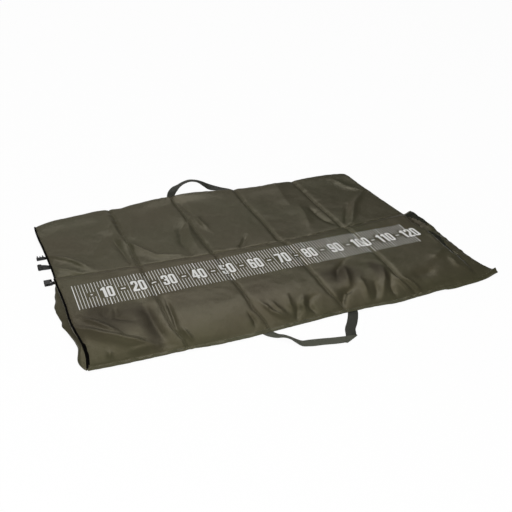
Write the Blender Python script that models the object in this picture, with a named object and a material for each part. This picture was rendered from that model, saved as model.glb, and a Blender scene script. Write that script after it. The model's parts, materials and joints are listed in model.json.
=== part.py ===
"""Unhooking mat: five padded columns, a padded flap over the front half, two carrying handles.

Metres, +Z up. The origin is on the ground under the middle of the mat. X runs along the mat's
length, and the front edge, where the flap is hinged, is at -Y.
"""
import math

import bmesh
import bpy
from mathutils import Matrix, Vector

# Plan of the mat
COLUMNS = 5
COLUMN_PITCH = 0.258
LEFT_BOXING = 0.015
RIGHT_HEM = 0.033
FLAP_RIGHT_HEM = 0.050
BASE_DEPTH = 0.97
FLAP_DEPTH = 0.485

# Cloth, foam and the play between them
CLOTH = 0.0009
PLAY = 0.0003
FOAM_PLAY = 0.0006
BASE_THICKNESS = 0.024
FLAP_THICKNESS = 0.014
CROWN_SHARE = 0.14

# Hems and sewn seams, each half of a seam on its own column
SEAM_HALF = 0.005
EDGE_HEM = 0.012
LEFT_HEM = 0.003
FOLD_RUN = 0.045

# How far in from its edges each padded field rounds up
SEAM_ROUNDING = 0.022
BOXING_ROUNDING = 0.014
BASE_ROUNDING = 0.034
FLAP_ROUNDING = 0.030
FLAP_FRONT_ROUNDING = 0.050

# Piping along the left edges
PIPING_RADIUS = 0.0022
PIPING_SIDES = 10

# Webbing handles
HANDLE_WIDTH = 0.036
HANDLE_THICKNESS = 0.002
HANDLE_REACH = 0.135
HANDLE_RUN = 0.115
HANDLE_BEND = 0.030
HANDLE_LEFT_OVERLAP = 0.008
HANDLE_RIGHT_OVERLAP = 0.016
REAR_HANDLE_LIFT = math.radians(18)
OPEN_FLAP_RIDE = 0.0055

# Closure webbing and side-release buckle
STRAP_WIDTH = 0.020
STRAP_THICKNESS = 0.0016
STRAP_LENGTH = 0.044
STRAP_TURN_BACK = 0.014
TAB_LENGTH = 0.012
BUCKLE_WIDTH = 0.027
BUCKLE_LENGTH = 0.026
BUCKLE_THICKNESS = 0.0100
BUCKLE_WALL = 0.0018
BUCKLE_MOUTH_WIDTH = 0.021
BUCKLE_MOUTH_DEPTH = 0.017
BUCKLE_WINDOW = 0.008
BUCKLE_ROUNDING = 0.0012
BUCKLE_BAR = 0.0030
BUCKLE_SLOT = 0.0028
PRONG_LENGTH = 0.016
PRONG_WIDTH = 0.0030
PRONG_THICKNESS = 0.0042
PRONG_CATCH = 0.0026
GUIDE_LENGTH = 0.013
GUIDE_WIDTH = 0.0035
STRAP_END_PLACE = 0.142
BUCKLE_PLACE = 0.035
STRAP_BUCKLE_PLACE = 0.215
OVERRUN = 0.002

# Places of the grid lines of a padded sheet, as shares of its rounded border
BORDER_SHARES = (0.0, 0.08, 0.35, 1.0)
INNER_LINES = (1, 3)
PIPING_SEAT_SHARE = BORDER_SHARES[2]
FOLD_STEPS = 8
END_STEPS = 3
ROUND_END_SHARE = 0.48
BEND_STEPS = 6

# Levels worked out from the sizes above
LENGTH = LEFT_BOXING + COLUMNS * COLUMN_PITCH + RIGHT_HEM
LEFT_X = -LENGTH / 2
FRONT_Y = -BASE_DEPTH / 2
REAR_Y = BASE_DEPTH / 2
HEM_TOP = 2 * CLOTH + PLAY
FLAP_BOTTOM = BASE_THICKNESS + PLAY
FLAP_TOP = FLAP_BOTTOM + FLAP_THICKNESS
SEAM_AXIS_LEVEL = FLAP_TOP + PLAY
FLAP_AXIS_LEVEL = (FLAP_TOP + OPEN_FLAP_RIDE) / 2
FLAP_AXIS_Y = FRONT_Y + FOLD_RUN / 2
CENTRE_COLUMN = COLUMNS // 2


def material(name, colour, roughness, metallic=0.0):
    """A plain surface of one colour."""
    made = bpy.data.materials.new(name)
    made.use_nodes = True
    surface = made.node_tree.nodes["Principled BSDF"]
    surface.inputs["Base Color"].default_value = (*colour, 1.0)
    surface.inputs["Roughness"].default_value = roughness
    surface.inputs["Metallic"].default_value = metallic
    made.diffuse_color = (*colour, 1.0)
    return made


def empty(name, place, parent=None):
    """A joint's axis point, given in world space and carried by its parent."""
    made = bpy.data.objects.new(name, None)
    bpy.context.scene.collection.objects.link(made)
    made.parent = parent
    made.location = Vector(place) - world_place(parent)
    return made


def world_place(item):
    """Where an unturned object stands in the world, adding up the places of its parents."""
    place = Vector((0.0, 0.0, 0.0))
    while item is not None:
        place += item.location
        item = item.parent
    return place


def add_piece(name, shape, place, surface, parent=None, sharp=30):
    """An object from a bmesh modelled about its own place."""
    bmesh.ops.recalc_face_normals(shape, faces=shape.faces)
    mesh = bpy.data.meshes.new(name)
    shape.to_mesh(mesh)
    shape.free()
    mesh.shade_smooth()
    mesh.set_sharp_from_angle(angle=math.radians(sharp))
    mesh.materials.append(surface)
    made = bpy.data.objects.new(name, mesh)
    bpy.context.scene.collection.objects.link(made)
    made.parent = parent
    made.location = Vector(place) - world_place(parent)
    return made


def round_up(share):
    """Height of a quarter ellipse, from 0 at its foot to 1 where it levels out."""
    return math.sqrt(1 - (1 - min(max(share, 0.0), 1.0)) ** 2)


class Panel:
    """The plan of one padded panel: its sheet's edges and, inside its hems, the padded field."""

    def __init__(self, column, low_y, high_y, hems_y, right_hem, front_rounding, edge_rounding):
        first, last = column == 0, column == COLUMNS - 1
        seam = LEFT_X + LEFT_BOXING + column * COLUMN_PITCH
        self.low = LEFT_X if first else seam + PLAY / 2
        self.high = seam + COLUMN_PITCH + (right_hem if last else -PLAY / 2)
        self.field_low = self.low + (LEFT_HEM if first else SEAM_HALF)
        self.field_high = seam + COLUMN_PITCH - SEAM_HALF
        self.low_y, self.high_y = low_y, high_y
        self.field_low_y, self.field_high_y = low_y + hems_y[0], high_y - hems_y[1]
        self.round_x = (
            BOXING_ROUNDING if first else SEAM_ROUNDING, edge_rounding if last else SEAM_ROUNDING
        )
        self.round_y = (front_rounding, edge_rounding)

    def swell(self, x, y):
        """How far the padding lifts the sheet here, from 0 on the hems to 1 on the crown."""
        from_x = (x - self.field_low, self.field_high - x)
        from_y = (y - self.field_low_y, self.field_high_y - y)
        edge = 1.0
        for inset, rounding in zip(from_x + from_y, self.round_x + self.round_y):
            edge *= round_up(inset / rounding)
        across = 4 * from_x[0] * from_x[1] / (from_x[0] + from_x[1]) ** 2
        along = 4 * from_y[0] * from_y[1] / (from_y[0] + from_y[1]) ** 2
        return edge * (1 - CROWN_SHARE + CROWN_SHARE * across * along)

    def lines(self, low, high, field_low, field_high, roundings, shares, inner):
        """Grid lines across the panel: the sheet's edges, the rounded borders and the middle."""
        border = [field_low + s * roundings[0] for s in shares]
        border_end = [field_high - s * roundings[1] for s in reversed(shares)]
        span = border_end[0] - border[-1]
        middle = [border[-1] + span * (n + 1) / (inner + 1) for n in range(inner)]
        edges = ([low], [high]) if shares[0] == 0 else ([], [])
        return edges[0] + border + middle + border_end + edges[1]

    def grid(self, shares, inner_x, inner_y):
        xs = self.lines(
            self.low, self.high, self.field_low, self.field_high, self.round_x, shares, inner_x
        )
        ys = self.lines(
            self.low_y, self.high_y, self.field_low_y, self.field_high_y, self.round_y, shares,
            inner_y,
        )
        return xs, ys


def slab(xs, ys, top, bottom, place):
    """A closed sheet between two heights given as functions of x and y."""
    shape = bmesh.new()
    sides = []
    for height in (bottom, top):
        sides.append([
            [shape.verts.new(Vector((x, y, height(x, y))) - Vector(place)) for x in xs] for y in ys
        ])
    under, over = sides
    for j in range(len(ys) - 1):
        for i in range(len(xs) - 1):
            near, right, far, left = (j, i), (j, i + 1), (j + 1, i + 1), (j + 1, i)
            shape.faces.new([over[a][b] for a, b in (near, right, far, left)])
            shape.faces.new([under[a][b] for a, b in (near, left, far, right)])
    rim = [(0, i) for i in range(len(xs))]
    rim += [(j, len(xs) - 1) for j in range(1, len(ys))]
    rim += [(len(ys) - 1, i) for i in range(len(xs) - 2, -1, -1)]
    rim += [(j, 0) for j in range(len(ys) - 2, 0, -1)]
    for here, there in zip(rim, rim[1:] + rim[:1]):
        shape.faces.new((
            under[here[0]][here[1]], under[there[0]][there[1]],
            over[there[0]][there[1]], over[here[0]][here[1]],
        ))
    return shape


def padded_panel(prefix, column, panel, floor, thickness, names, parent):
    """Lower sheet, foam and upper sheet of one panel that lies on a level floor."""
    place = (panel.low, panel.low_y, floor)
    hem_level = floor + CLOTH + PLAY
    lift = thickness - hem_level + floor - CLOTH

    def inner(x, y):
        return hem_level + lift * panel.swell(x, y)

    def outer(x, y):
        return inner(x, y) + CLOTH

    lower = slab(
        (panel.low, panel.high), (panel.low_y, panel.high_y),
        lambda x, y: floor + CLOTH, lambda x, y: floor, place,
    )
    upper = slab(*panel.grid(BORDER_SHARES, *INNER_LINES), outer, inner, place)
    foam = slab(
        *panel.grid(BORDER_SHARES[1:], *INNER_LINES),
        lambda x, y: inner(x, y) - FOAM_PLAY,
        lambda x, y: floor + CLOTH + PLAY,
        place,
    )
    label = f"_{column + 1}"
    add_piece(prefix + names[0] + label, lower, place, cloth, parent)
    add_piece(prefix + "foam" + label, foam, place, foam_grey, parent)
    add_piece(prefix + names[1] + label, upper, place, cloth, parent, sharp=60)
    return outer


def front_fold(column, panel, parent):
    """The turned front edge that joins the base's hem to the flap."""
    low = HEM_TOP + PLAY
    rise = FLAP_AXIS_LEVEL - low
    run = FOLD_RUN - PLAY
    outer, inner = [], []
    for n in range(FOLD_STEPS + 1):
        turn = math.pi / 2 * n / FOLD_STEPS
        outer.append((FRONT_Y + run * (1 - math.cos(turn)), low + rise * math.sin(turn)))
        inner.append((
            FRONT_Y + CLOTH + (run - CLOTH) * (1 - math.cos(turn)),
            low + (rise - CLOTH) * math.sin(turn),
        ))
    outline = outer + inner[::-1]
    shape = extrude_along_x(outline, panel.high - panel.low, (FRONT_Y, 0.0))
    add_piece(f"front_fold_{column + 1}", shape, (panel.low, FRONT_Y, 0.0), cloth, parent)


def extrude_along_x(outline, length, origin):
    """A prism along X from an outline of (y, z) points that needn't be convex."""
    shape = bmesh.new()
    ends = []
    for x in (0.0, length):
        ends.append([shape.verts.new((x, y - origin[0], z - origin[1])) for y, z in outline])
    count = len(outline)
    for i in range(count):
        j = (i + 1) % count
        shape.faces.new((ends[0][i], ends[0][j], ends[1][j], ends[1][i]))
    for end in ends:
        for i in range(count // 2 - 1):
            shape.faces.new((end[i], end[i + 1], end[count - 2 - i], end[count - 1 - i]))
    return shape


def piping(name, panel, surface_height, parent):
    """A corded edge laid on the shoulder of the left-hand column's upper sheet."""
    x = panel.field_low + PIPING_SEAT_SHARE * panel.round_x[0]
    middle = (panel.field_low_y + panel.field_high_y) / 2
    step = (1 - PIPING_SEAT_SHARE) * panel.round_x[0]
    fall = (surface_height(x + step, middle) - surface_height(x, middle)) / step
    normal = Vector((-fall, 0.0, 1.0)).normalized()
    seat = Vector((x, 0.0, surface_height(x, middle)))
    centre = seat + normal * (PIPING_RADIUS + PLAY)
    low_y = panel.field_low_y + panel.round_y[0]
    length = panel.field_high_y - panel.round_y[1] - low_y
    shape = bmesh.new()
    bmesh.ops.create_cone(
        shape, cap_ends=True, segments=PIPING_SIDES, radius1=PIPING_RADIUS, radius2=PIPING_RADIUS,
        depth=length, matrix=Matrix.Rotation(math.pi / 2, 4, "X"),
    )
    add_piece(name, shape, (centre.x, low_y + length / 2, centre.z), black_piping, parent)


def ribbon(path, width, thickness):
    """A flat band along a path of ((x, y), heading) stations, from z 0 up to its thickness."""
    shape = bmesh.new()
    rings = []
    for (x, y), heading in path:
        side = Vector((-math.sin(heading), math.cos(heading), 0.0)) * width / 2
        here = Vector((x, y, 0.0))
        up = Vector((0.0, 0.0, thickness))
        rings.append([
            shape.verts.new(v) for v in (here - side, here + side, here + side + up, here - side + up)
        ])
    for near, far in zip(rings, rings[1:]):
        for i in range(4):
            j = (i + 1) % 4
            shape.faces.new((near[i], near[j], far[j], far[i]))
    shape.faces.new(rings[0])
    shape.faces.new(rings[-1][::-1])
    return shape


def round_sewn_end(shape, along, thickness):
    """Rounds a band's end faces that lie at 0 on one axis, so that they can turn in their seam."""
    edges = [
        e for e in shape.edges
        if all(abs(v.co[along]) < PLAY for v in e.verts) and abs(e.verts[0].co.z - e.verts[1].co.z) < PLAY
    ]
    bmesh.ops.bevel(
        shape, geom=edges, offset=thickness * ROUND_END_SHARE, segments=END_STEPS, affect="EDGES", profile=0.5
    )


def handle_path(left, right):
    """Stations of a handle that leaves the edge at y 0 and reaches out towards -Y."""
    centre = (left + right) / 2
    reach = HANDLE_REACH - HANDLE_WIDTH / 2
    corners = [
        Vector((left, 0.0)), Vector((centre - HANDLE_RUN / 2, -reach)),
        Vector((centre + HANDLE_RUN / 2, -reach)), Vector((right, 0.0)),
    ]
    headings = [math.atan2(b.y - a.y, b.x - a.x) for a, b in zip(corners, corners[1:])]
    path = [(tuple(corners[0]), -math.pi / 2)]
    path.append(((corners[0].x, -HANDLE_WIDTH / 3), -math.pi / 2))
    for corner, before, after in zip(corners[1:3], headings, headings[1:]):
        turn = after - before
        setback = HANDLE_BEND * math.tan(abs(turn) / 2)
        start = corner - setback * Vector((math.cos(before), math.sin(before)))
        pivot = start + HANDLE_BEND * Vector((-math.sin(before), math.cos(before)))
        for n in range(BEND_STEPS + 1):
            heading = before + turn * n / BEND_STEPS
            spoke = Vector((math.sin(heading), -math.cos(heading))) * HANDLE_BEND
            path.append((tuple(pivot + spoke), heading))
    path.append(((corners[3].x, -HANDLE_WIDTH / 3), math.pi / 2))
    path.append((tuple(corners[3]), math.pi / 2))
    return path


def handles(bodies):
    """Two loops of webbing, sewn to the front and rear hems at the middle column's seams."""
    seam = LEFT_X + LEFT_BOXING + CENTRE_COLUMN * COLUMN_PITCH
    left = seam - HANDLE_LEFT_OVERLAP
    right = seam + COLUMN_PITCH + HANDLE_RIGHT_OVERLAP
    path = handle_path(left, right)
    radius = HANDLE_THICKNESS / 2
    for name, y, side in (("front_handle", FRONT_Y, 1), ("rear_handle", REAR_Y, -1)):
        place = (0.0, y - side * (PLAY + radius), radius)
        axis = empty(f"{name}_axis", place, bodies[CENTRE_COLUMN])
        shape = ribbon(path, HANDLE_WIDTH, HANDLE_THICKNESS)
        round_sewn_end(shape, 1, HANDLE_THICKNESS)
        bmesh.ops.translate(shape, vec=(0.0, radius, -radius), verts=shape.verts)
        bmesh.ops.scale(shape, vec=(1.0, side, 1.0), verts=shape.verts)
        made = add_piece(name, shape, place, webbing, axis)
        if side < 0:
            made.rotation_euler.x = REAR_HANDLE_LIFT


def box(low, high):
    """A bmesh block between two corners."""
    shape = bmesh.new()
    low, high = Vector(low), Vector(high)
    bmesh.ops.create_cube(shape, size=1.0)
    bmesh.ops.scale(shape, vec=high - low, verts=shape.verts)
    bmesh.ops.translate(shape, vec=(low + high) / 2, verts=shape.verts)
    return shape


def rounded_block(low, high, radius, segments=2):
    """A block with all its edges rounded."""
    shape = box(low, high)
    bmesh.ops.bevel(
        shape, geom=shape.edges[:], offset=radius, segments=segments, affect="EDGES", profile=0.5
    )
    return shape


def temporary(shape):
    """A scene object that only serves a Boolean and is then removed."""
    mesh = bpy.data.meshes.new("cut")
    bmesh.ops.recalc_face_normals(shape, faces=shape.faces)
    shape.to_mesh(mesh)
    shape.free()
    made = bpy.data.objects.new("cut", mesh)
    bpy.context.scene.collection.objects.link(made)
    return made


def combine(shape, others, operation):
    """The bmesh left when each of the others is cut from or joined to the first."""
    body = temporary(shape)
    tools = [temporary(other) for other in others]
    for tool in tools:
        step = body.modifiers.new("step", "BOOLEAN")
        step.operation, step.solver, step.object = operation, "EXACT", tool
    graph = bpy.context.evaluated_depsgraph_get()
    result = bmesh.new()
    result.from_mesh(body.evaluated_get(graph).to_mesh())
    for item in [body, *tools]:
        bpy.data.objects.remove(item)
    return result


def female_buckle():
    """The socket half, its mouth towards -X, about the middle of its webbing end on the ground."""
    half = BUCKLE_WIDTH / 2
    body = rounded_block((-BUCKLE_LENGTH, -half, 0.0), (0.0, half, BUCKLE_THICKNESS), BUCKLE_ROUNDING)
    mouth = box(
        (-BUCKLE_LENGTH - OVERRUN, -BUCKLE_MOUTH_WIDTH / 2, BUCKLE_WALL),
        (-BUCKLE_LENGTH + BUCKLE_MOUTH_DEPTH, BUCKLE_MOUTH_WIDTH / 2, BUCKLE_THICKNESS - BUCKLE_WALL),
    )
    window_end = -BUCKLE_LENGTH + BUCKLE_MOUTH_DEPTH - BUCKLE_WALL
    window = box(
        (window_end - BUCKLE_WINDOW, -half - OVERRUN, BUCKLE_WALL),
        (window_end, half + OVERRUN, BUCKLE_THICKNESS - BUCKLE_WALL),
    )
    slot = box(
        (-BUCKLE_BAR - BUCKLE_SLOT, -STRAP_WIDTH / 2, -OVERRUN),
        (-BUCKLE_BAR, STRAP_WIDTH / 2, BUCKLE_THICKNESS + OVERRUN),
    )
    return combine(body, (mouth, window, slot), "DIFFERENCE")


def male_buckle():
    """The prong half, its prongs towards +Y, about the middle of its webbing end on the ground."""
    half = BUCKLE_WIDTH / 2
    frame = 2 * BUCKLE_BAR + BUCKLE_SLOT
    middle = BUCKLE_THICKNESS / 2
    body = rounded_block((-half, 0.0, 0.0), (half, frame, BUCKLE_THICKNESS), BUCKLE_ROUNDING)
    slot = box(
        (-STRAP_WIDTH / 2, BUCKLE_BAR, -OVERRUN),
        (STRAP_WIDTH / 2, BUCKLE_BAR + BUCKLE_SLOT, BUCKLE_THICKNESS + OVERRUN),
    )
    body = combine(body, (slot,), "DIFFERENCE")
    level = (middle - PRONG_THICKNESS / 2, middle + PRONG_THICKNESS / 2)
    root = frame - BUCKLE_BAR / 2
    tip = frame + PRONG_LENGTH
    outside = BUCKLE_MOUTH_WIDTH / 2 - PLAY
    arms = []
    for side in (-1, 1):
        outline = (
            (outside - PRONG_WIDTH, root), (outside, root), (outside, tip - 3 * PRONG_CATCH),
            (outside + PRONG_CATCH / 2, tip - 2 * PRONG_CATCH), (outside, tip - PRONG_CATCH / 2),
            (outside - PRONG_WIDTH / 2, tip), (outside - PRONG_WIDTH, tip - PRONG_CATCH),
        )
        arms.append(prism([(side * x, y) for x, y in outline], *level))
    guide = GUIDE_WIDTH / 2
    arms.append(prism(
        [(-guide, root), (guide, root), (guide, frame + GUIDE_LENGTH - guide),
         (0.0, frame + GUIDE_LENGTH), (-guide, frame + GUIDE_LENGTH - guide)], *level,
    ))
    return combine(body, arms, "UNION")


def prism(outline, low, high):
    """A block of even thickness from an outline of (x, y) points."""
    shape = bmesh.new()
    face = shape.faces.new([shape.verts.new((x, y, low)) for x, y in outline])
    grown = bmesh.ops.extrude_face_region(shape, geom=[face])
    moved = [v for v in grown["geom"] if isinstance(v, bmesh.types.BMVert)]
    bmesh.ops.translate(shape, vec=(0.0, 0.0, high - low), verts=moved)
    return shape


def closures(body):
    """Webbing ends and the two buckle halves sewn to the left hem."""
    edge = LEFT_X - PLAY
    radius = STRAP_THICKNESS / 2
    names = ("closure_strap", "buckle_tab", "strap_buckle")
    places = (STRAP_END_PLACE, BUCKLE_PLACE, STRAP_BUCKLE_PLACE)
    axes = [empty(f"{n}_axis", (edge - radius, y, radius), body) for n, y in zip(names, places)]
    half = STRAP_WIDTH / 2

    outline = (
        (0.0, 0.0), (-STRAP_LENGTH, 0.0), (-STRAP_LENGTH, 2 * STRAP_THICKNESS + PLAY),
        (-STRAP_LENGTH + STRAP_TURN_BACK, 2 * STRAP_THICKNESS + PLAY),
        (-STRAP_LENGTH + STRAP_TURN_BACK, STRAP_THICKNESS + PLAY),
        (-STRAP_LENGTH + STRAP_THICKNESS, STRAP_THICKNESS + PLAY),
        (-STRAP_LENGTH + STRAP_THICKNESS, STRAP_THICKNESS), (0.0, STRAP_THICKNESS),
    )
    strap = prism(outline, -half, half)
    bmesh.ops.rotate(strap, matrix=Matrix.Rotation(math.pi / 2, 3, "X"), verts=strap.verts)
    round_sewn_end(strap, 0, STRAP_THICKNESS)
    add_piece(names[0], strap, (edge, STRAP_END_PLACE, 0.0), strap_grey, axes[0])

    tab = box((-TAB_LENGTH, -half, 0.0), (0.0, half, STRAP_THICKNESS))
    round_sewn_end(tab, 0, STRAP_THICKNESS)
    add_piece(names[1], tab, (edge, BUCKLE_PLACE, 0.0), webbing, axes[1])
    socket_place = (edge - TAB_LENGTH - PLAY, BUCKLE_PLACE, 0.0)
    add_piece("buckle_socket", female_buckle(), socket_place, black_plastic, axes[1])

    link = box((-TAB_LENGTH, -half, 0.0), (0.0, half, STRAP_THICKNESS))
    round_sewn_end(link, 0, STRAP_THICKNESS)
    add_piece("buckle_link", link, (edge, STRAP_BUCKLE_PLACE, 0.0), webbing, axes[2])
    prong_place = (edge - TAB_LENGTH - PLAY - BUCKLE_WIDTH / 2, STRAP_BUCKLE_PLACE - half, 0.0)
    add_piece("buckle_prongs", male_buckle(), prong_place, black_plastic, axes[2])


def column_bodies():
    """One empty for each column, on the axis of the seam that joins it to its inner neighbour."""
    bodies = {CENTRE_COLUMN: empty("column_3", (0.0, 0.0, 0.0))}
    for step in range(1, CENTRE_COLUMN + 1):
        for column in (CENTRE_COLUMN - step, CENTRE_COLUMN + step):
            inner = column + 1 if column < CENTRE_COLUMN else column - 1
            seam = LEFT_X + LEFT_BOXING + max(column, inner) * COLUMN_PITCH
            place = (seam, 0.0, SEAM_AXIS_LEVEL)
            bodies[column] = empty(f"column_{column + 1}", place, bodies[inner])
    return bodies


def build():
    bodies = column_bodies()
    for column in range(COLUMNS):
        base = Panel(
            column, FRONT_Y, REAR_Y, (FOLD_RUN, EDGE_HEM), RIGHT_HEM, BASE_ROUNDING, BASE_ROUNDING
        )
        base_top = padded_panel(
            "base_", column, base, 0.0, BASE_THICKNESS, ("underside", "cover"), bodies[column]
        )
        front_fold(column, base, bodies[column])
        hinge = empty(f"flap_{column + 1}_axis", (0.0, FLAP_AXIS_Y, FLAP_AXIS_LEVEL), bodies[column])
        low_y = FRONT_Y + FOLD_RUN
        flap = Panel(
            column, low_y, FRONT_Y + FLAP_DEPTH, (EDGE_HEM / 2, EDGE_HEM), FLAP_RIGHT_HEM,
            FLAP_FRONT_ROUNDING, FLAP_ROUNDING,
        )
        flap_top = padded_panel(
            "flap_", column, flap, FLAP_BOTTOM, FLAP_THICKNESS, ("lining", "cover"), hinge
        )
        if column == 0:
            piping("base_piping", base, base_top, bodies[column])
            piping("flap_piping", flap, flap_top, hinge)
    handles(bodies)
    closures(bodies[0])


for old in list(bpy.data.objects):
    bpy.data.objects.remove(old)

cloth = material("olive_nylon", (0.088, 0.077, 0.052), 0.45)
foam_grey = material("foam", (0.30, 0.30, 0.30), 0.95)
webbing = material("webbing", (0.050, 0.052, 0.040), 0.75)
strap_grey = material("closure_webbing", (0.16, 0.16, 0.15), 0.75)
black_piping = material("piping", (0.012, 0.012, 0.010), 0.6)
black_plastic = material("buckle_plastic", (0.015, 0.015, 0.015), 0.4)

build()
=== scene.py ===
# %% [markdown]
# # A folding unhooking mat
# An angler lays this mat on the bank so that a fish never touches hard ground. It is two sheets of coated
# nylon over foam, stitched into five columns, with a padded flap folded over its front half. The packed
# solids give the sizes and the hinges. This lesson dresses them: each step says what a piece is, how it
# could be made, and why it is made the way it is.

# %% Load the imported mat
import json
import math

import bmesh
import bpy
import numpy as np
from mathutils import Matrix, Vector
from mathutils.bvhtree import BVHTree
from mathutils.geometry import tessellate_polygon


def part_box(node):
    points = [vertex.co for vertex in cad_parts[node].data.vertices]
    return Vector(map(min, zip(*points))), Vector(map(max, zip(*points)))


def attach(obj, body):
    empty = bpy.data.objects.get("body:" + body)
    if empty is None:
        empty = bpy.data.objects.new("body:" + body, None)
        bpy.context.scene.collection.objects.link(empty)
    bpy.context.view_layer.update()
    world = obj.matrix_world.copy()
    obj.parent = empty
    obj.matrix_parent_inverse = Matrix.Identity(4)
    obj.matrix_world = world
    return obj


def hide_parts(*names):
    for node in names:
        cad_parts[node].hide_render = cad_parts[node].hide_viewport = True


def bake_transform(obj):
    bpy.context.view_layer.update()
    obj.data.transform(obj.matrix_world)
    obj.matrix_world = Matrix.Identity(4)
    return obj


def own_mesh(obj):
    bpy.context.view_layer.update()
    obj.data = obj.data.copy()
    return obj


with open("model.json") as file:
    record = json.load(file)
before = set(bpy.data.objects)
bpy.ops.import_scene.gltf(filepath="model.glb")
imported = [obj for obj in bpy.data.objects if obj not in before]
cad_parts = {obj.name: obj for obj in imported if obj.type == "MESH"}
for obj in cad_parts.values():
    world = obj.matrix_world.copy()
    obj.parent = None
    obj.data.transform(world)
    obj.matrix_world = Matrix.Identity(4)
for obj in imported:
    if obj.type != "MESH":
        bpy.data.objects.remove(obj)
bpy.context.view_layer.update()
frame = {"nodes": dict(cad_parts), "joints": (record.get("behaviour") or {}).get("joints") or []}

# %% [markdown]
# ## The camera
# The printed ruler gives the camera: its marks from 0 to 120 were fitted with a pinhole view, which stands
# about 1.3 m up and looks 29 degrees down at the mat, turned 22 degrees. A camera could be aimed with a
# constraint, but turning it by its three angles keeps the fitted numbers plain.

# %% Aim the camera
VIEW_TURN, VIEW_DIP, VIEW_ROLL = math.radians(21.96), math.radians(28.97), math.radians(0.22)
VIEW_FROM = (-0.8532, -2.1820, 1.2803)
FOCAL_SHARE = 752.07 / 512


def in_scene(name, data):
    """A new object in the scene."""
    made = bpy.data.objects.new(name, data)
    bpy.context.scene.collection.objects.link(made)
    return made


camera = in_scene("camera", bpy.data.cameras.new("camera"))
camera.data.sensor_width = 36
camera.data.lens = 36 * FOCAL_SHARE
camera.data.clip_end = 60
camera.matrix_world = (Matrix.Translation(VIEW_FROM) @ Matrix.Rotation(-VIEW_TURN, 4, "Z")
                       @ Matrix.Rotation(math.pi / 2 - VIEW_DIP, 4, "X") @ Matrix.Rotation(VIEW_ROLL, 4, "Z"))
bpy.context.scene.camera = camera
print("lens", round(camera.data.lens, 1), "mm")

# %% [markdown]
# ## The lines of the mat
# Everything follows a few lines seen from above: four seams, and the edges of the base and of the flap. The
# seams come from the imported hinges. The edges of a sewn mat are never straight, so each is a short list of
# places that the curve passes through.

# %% Seams and edges
SEAMS = sorted(j["pos_m"][0] for j in frame["joints"] if j["name"].startswith("seam"))
COLUMNS = len(SEAMS) + 1
STRIP_HALF, PAD_GAP = 0.0045, 0.0003  # a sewn band's half width, and its play beside a pad
HEM, LOWEST = 0.003, 0.0022  # heights of a hem, and of the lowest place of any upper sheet
BASE_CROWN, LINING, FLAP_CROWN = 0.0235, 0.0252, 0.0375  # a base pad's top, the flap's underside and top
FOAM_END = 0.650  # the flap's foam stops here, and a limp hem goes on


def line_through(*places):
    """A function that passes smoothly through the places, given as pairs."""
    at, value = np.array(places, float).T
    slope = np.gradient(value, at)

    def curve(t):
        t = np.clip(np.asarray(t, float), at[0], at[-1])
        k = np.clip(np.searchsorted(at, t) - 1, 0, len(at) - 2)
        run = at[k + 1] - at[k]
        u = (t - at[k]) / run
        return (value[k] * (1 + 2 * u) * (1 - u) ** 2 + slope[k] * run * u * (1 - u) ** 2
                + value[k + 1] * u * u * (3 - 2 * u) + slope[k + 1] * run * u * u * (u - 1))
    return curve


def edge_line(*places):
    """The same for pairs in millimetres, written one after another."""
    return line_through(*np.array(places, float).reshape(-1, 2) / 1000)


front_edge = edge_line(
    -670, -478, -610, -482, -490, -484.5, -410, -486, -350, -491, -210, -493, -130, -489, -30, -485,
    100, -480, 200, -482, 285, -488, 390, -480, 445, -477, 500, -481, 560, -477, 600, -474, 630, -469,
    660, -463, 690, -453, 720, -440)
free_edge = edge_line(
    -680, 21, -550, 12, -396, 2, -137, -11, 0, -12, 122, -9, 250, -4, 364, 4, 500, 15, 646, 30, 740, 40)
rear_edge = edge_line(
    -690, 446, -620, 471, -500, 494, -440, 503, -390, 502, -352, 494, -310, 505, -250, 513, -190, 517,
    -100, 518, 30, 510, 100, 508, 190, 494, 360, 494, 600, 490, 660, 474)
base_left = edge_line(
    -500, -652, -470, -658, -440, -670, -380, -663, -330, -664, -280, -669, -190, -674, -50, -672, 40, -671,
    270, -678, 400, -684, 470, -680)
base_right = edge_line(-500, 664, 40, 671, 210, 660, 350, 652, 470, 645, 500, 640)
flap_left = edge_line(
    -490, -664, -470, -661, -425, -654, -390, -655, -355, -659, -315, -667, -264, -670, -177, -669, -95, -671,
    -20, -674, 30, -673)
flap_right = edge_line(
    -470, 715, -454, 723, -440, 726.5, -410, 717, -384, 704, -350, 693, -300, 691, -200, 692, -100, 698,
    30, 711)
print(COLUMNS, "columns between seams at", [round(s, 3) for s in SEAMS])

# %% [markdown]
# ## Cloth that isn't flat
# Nylon over foam is never smooth: it swells between the seams, buckles where the stitching gathers it, and
# keeps the creases of its last folding. A cloth simulation makes general wrinkles, but not these ones. So
# the height of the cloth is worked out in numbers, as a sum of soft noise and of folds drawn as strokes.

# %% Noise and strokes
def ease(t):
    t = np.clip(t, 0, 1)
    return t * t * (3 - 2 * t)


def rise(t, power=2.0):
    """From 0 to 1, steep at first and level at the end."""
    return 1 - (1 - np.clip(t, 0, 1)) ** power


def ripple(x, y, size_x, size_y, seed):
    """Soft noise from -1 to 1, with bumps of about the given size."""
    u, v = x / size_x + seed * 17.3, y / size_y + seed * 5.9
    i, j = np.floor(u), np.floor(v)
    a, b = ease(u - i), ease(v - j)

    def corner(di, dj):
        s = np.sin((i + di) * 127.1 + (j + dj) * 311.7 + seed * 74.7) * 43758.5453
        return 2 * (s - np.floor(s)) - 1
    low = corner(0, 0) * (1 - a) + corner(1, 0) * a
    high = corner(0, 1) * (1 - a) + corner(1, 1) * a
    return low * (1 - b) + high * b


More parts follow.
